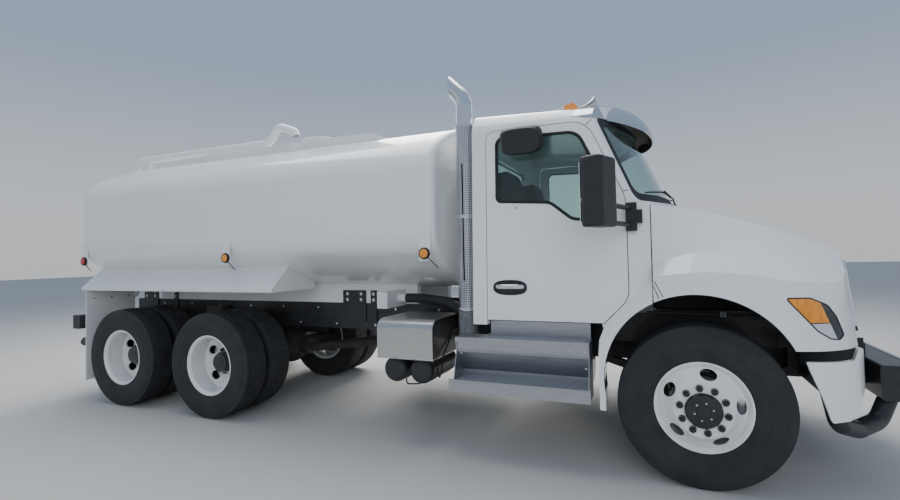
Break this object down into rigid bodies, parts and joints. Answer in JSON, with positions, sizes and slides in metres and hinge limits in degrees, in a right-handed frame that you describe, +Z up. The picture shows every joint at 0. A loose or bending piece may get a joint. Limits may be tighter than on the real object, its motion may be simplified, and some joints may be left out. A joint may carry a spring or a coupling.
{
  "type": "water tanker truck",
  "caption": "Long-nosed tanker truck: tilting hood, two-door cab, rounded water tank with manhole and fill pipe, steered front axle and twin-wheel tandem.",
  "frame": {"origin": "on the ground, under the middle of the overall length and width", "axes": "+X to the front of the truck, +Y to its left, +Z up"},
  "size_m": [7.99, 3.3778, 3.118],
  "materials": {
    "white_paint": "glossy white paint",
    "chassis_black": "satin black paint",
    "radiator_black": "matt black",
    "tyre_rubber": "matt black rubber",
    "wheel_paint": "white paint",
    "hose_rubber": "ribbed black hose",
    "stack_steel": "bright exhaust steel",
    "chrome": "polished",
    "tank_aluminium": "brushed",
    "tinted_glass": "tinted",
    "lamp_lens": "clear and amber lens",
    "amber_lens": "amber lens",
    "red_lens": "red lens",
    "black_plastic": "moulded black",
    "trim_grey": "moulded grey trim"
  },
  "bodies": {
    "chassis": {"air_horn": "chrome", "air_tanks": "chassis_black", "battery_box": "tank_aluminium", "bumper_ends": "white_paint", "cab_glass": "tinted_glass", "cab_interior": "trim_grey", "cab_shell": "white_paint", "cab_steps": "tank_aluminium", "drive_axles": "chassis_black", "engine_block": "chassis_black", "exhaust_stack": "stack_steel", "fill_pipe": "white_paint", "frame_rails": "chassis_black", "front_axle": "chassis_black", "front_guard": "chassis_black", "front_springs": "chassis_black", "fuel_tank": "tank_aluminium", "heat_shield": "chrome", "marker_lamps": "amber_lens", "mirrors": "black_plastic", "mudflaps": "white_paint", "quarter_fenders": "white_paint", "radiator": "radiator_black", "rear_bumper": "chassis_black", "rear_ladder": "white_paint", "side_skirts": "white_paint", "spray_bar": "chassis_black", "sun_visor": "chrome", "tail_lamps": "red_lens", "tandem_suspension": "chassis_black", "tank_dam": "white_paint", "tank_shell": "white_paint", "tank_sills": "white_paint", "water_hose": "hose_rubber"},
    "knuckle_left": {"knuckle_left": "chassis_black"},
    "knuckle_right": {"knuckle_right": "chassis_black"},
    "tie_rod": {"tie_rod": "chassis_black"},
    "hood": {"hood": "white_paint", "grille": "chrome", "headlights": "lamp_lens"},
    "door_left": {"door_left": "white_paint", "door_glass_left": "tinted_glass"},
    "door_right": {"door_right": "white_paint", "door_glass_right": "tinted_glass"},
    "manhole_lid": {"manhole_lid": "white_paint"},
    "steering_wheel": {"steering_wheel": "black_plastic"},
    "front_wheel_left": {"front_rim_left": "wheel_paint", "front_tyre_left": "tyre_rubber"},
    "mid_wheels_left": {"mid_rims_left": "wheel_paint", "mid_tyres_left": "tyre_rubber"},
    "rear_wheels_left": {"rear_rims_left": "wheel_paint", "rear_tyres_left": "tyre_rubber"},
    "front_wheel_right": {"front_rim_right": "wheel_paint", "front_tyre_right": "tyre_rubber"},
    "mid_wheels_right": {"mid_rims_right": "wheel_paint", "mid_tyres_right": "tyre_rubber"},
    "rear_wheels_right": {"rear_rims_right": "wheel_paint", "rear_tyres_right": "tyre_rubber"}
  },
  "joints": [
    {"name": "steer_left", "type": "hinge", "parent": "chassis", "child": "knuckle_left", "pos_m": [2.705, 0.87, 0.5375], "axis": [0, 0, 1], "range_deg": [-35, 35]},
    {"name": "steer_right", "type": "hinge", "parent": "chassis", "child": "knuckle_right", "pos_m": [2.705, -0.87, 0.5375], "axis": [0, 0, 1], "range_deg": [-35, 35]},
    {"name": "tie_rod_swing", "type": "hinge", "parent": "knuckle_left", "child": "tie_rod", "pos_m": [2.53, 0.87, 0.4595], "axis": [0, 0, 1], "range_deg": [-35, 35]},
    {"name": "front_spin_left", "type": "hinge", "parent": "knuckle_left", "child": "front_wheel_left", "pos_m": [2.705, 1.203, 0.5375], "axis": [0, 1, 0], "continuous": true},
    {"name": "mid_spin_left", "type": "hinge", "parent": "chassis", "child": "mid_wheels_left", "pos_m": [-1.701, 0.922, 0.5275], "axis": [0, 1, 0], "continuous": true},
    {"name": "rear_spin_left", "type": "hinge", "parent": "chassis", "child": "rear_wheels_left", "pos_m": [-3.021, 0.922, 0.5275], "axis": [0, 1, 0], "continuous": true},
    {"name": "front_spin_right", "type": "hinge", "parent": "knuckle_right", "child": "front_wheel_right", "pos_m": [2.705, -1.203, 0.5375], "axis": [0, 1, 0], "continuous": true},
    {"name": "mid_spin_right", "type": "hinge", "parent": "chassis", "child": "mid_wheels_right", "pos_m": [-1.701, -0.922, 0.5275], "axis": [0, 1, 0], "continuous": true},
    {"name": "rear_spin_right", "type": "hinge", "parent": "chassis", "child": "rear_wheels_right", "pos_m": [-3.021, -0.922, 0.5275], "axis": [0, 1, 0], "continuous": true},
    {"name": "hood_tilt", "type": "hinge", "parent": "chassis", "child": "hood", "pos_m": [3.77, 0, 0.862], "axis": [0, 1, 0], "range_deg": [0, 75]},
    {"name": "door_right_swing", "type": "hinge", "parent": "chassis", "child": "door_right", "pos_m": [2.27, -1.092, 1.5], "axis": [0, 0, 1], "range_deg": [0, 60]},
    {"name": "door_left_swing", "type": "hinge", "parent": "chassis", "child": "door_left", "pos_m": [2.27, 1.092, 1.5], "axis": [0, 0, -1], "range_deg": [0, 60]},
    {"name": "lid_tilt", "type": "hinge", "parent": "chassis", "child": "manhole_lid", "pos_m": [-0.869, 0, 2.956], "axis": [0, 1, 0], "range_deg": [0, 100]},
    {"name": "steering_turn", "type": "hinge", "parent": "chassis", "child": "steering_wheel", "pos_m": [1.875, 0.47, 1.83], "axis": [-0.901, 0, 0.4338], "range_deg": [-525, 525]}
  ],
  "couplings": [
    {"joint": "steer_right", "follows": "steer_left", "ratio": 1},
    {"joint": "tie_rod_swing", "follows": "steer_left", "ratio": -1},
    {"joint": "steering_turn", "follows": "steer_left", "ratio": 15}
  ]
}
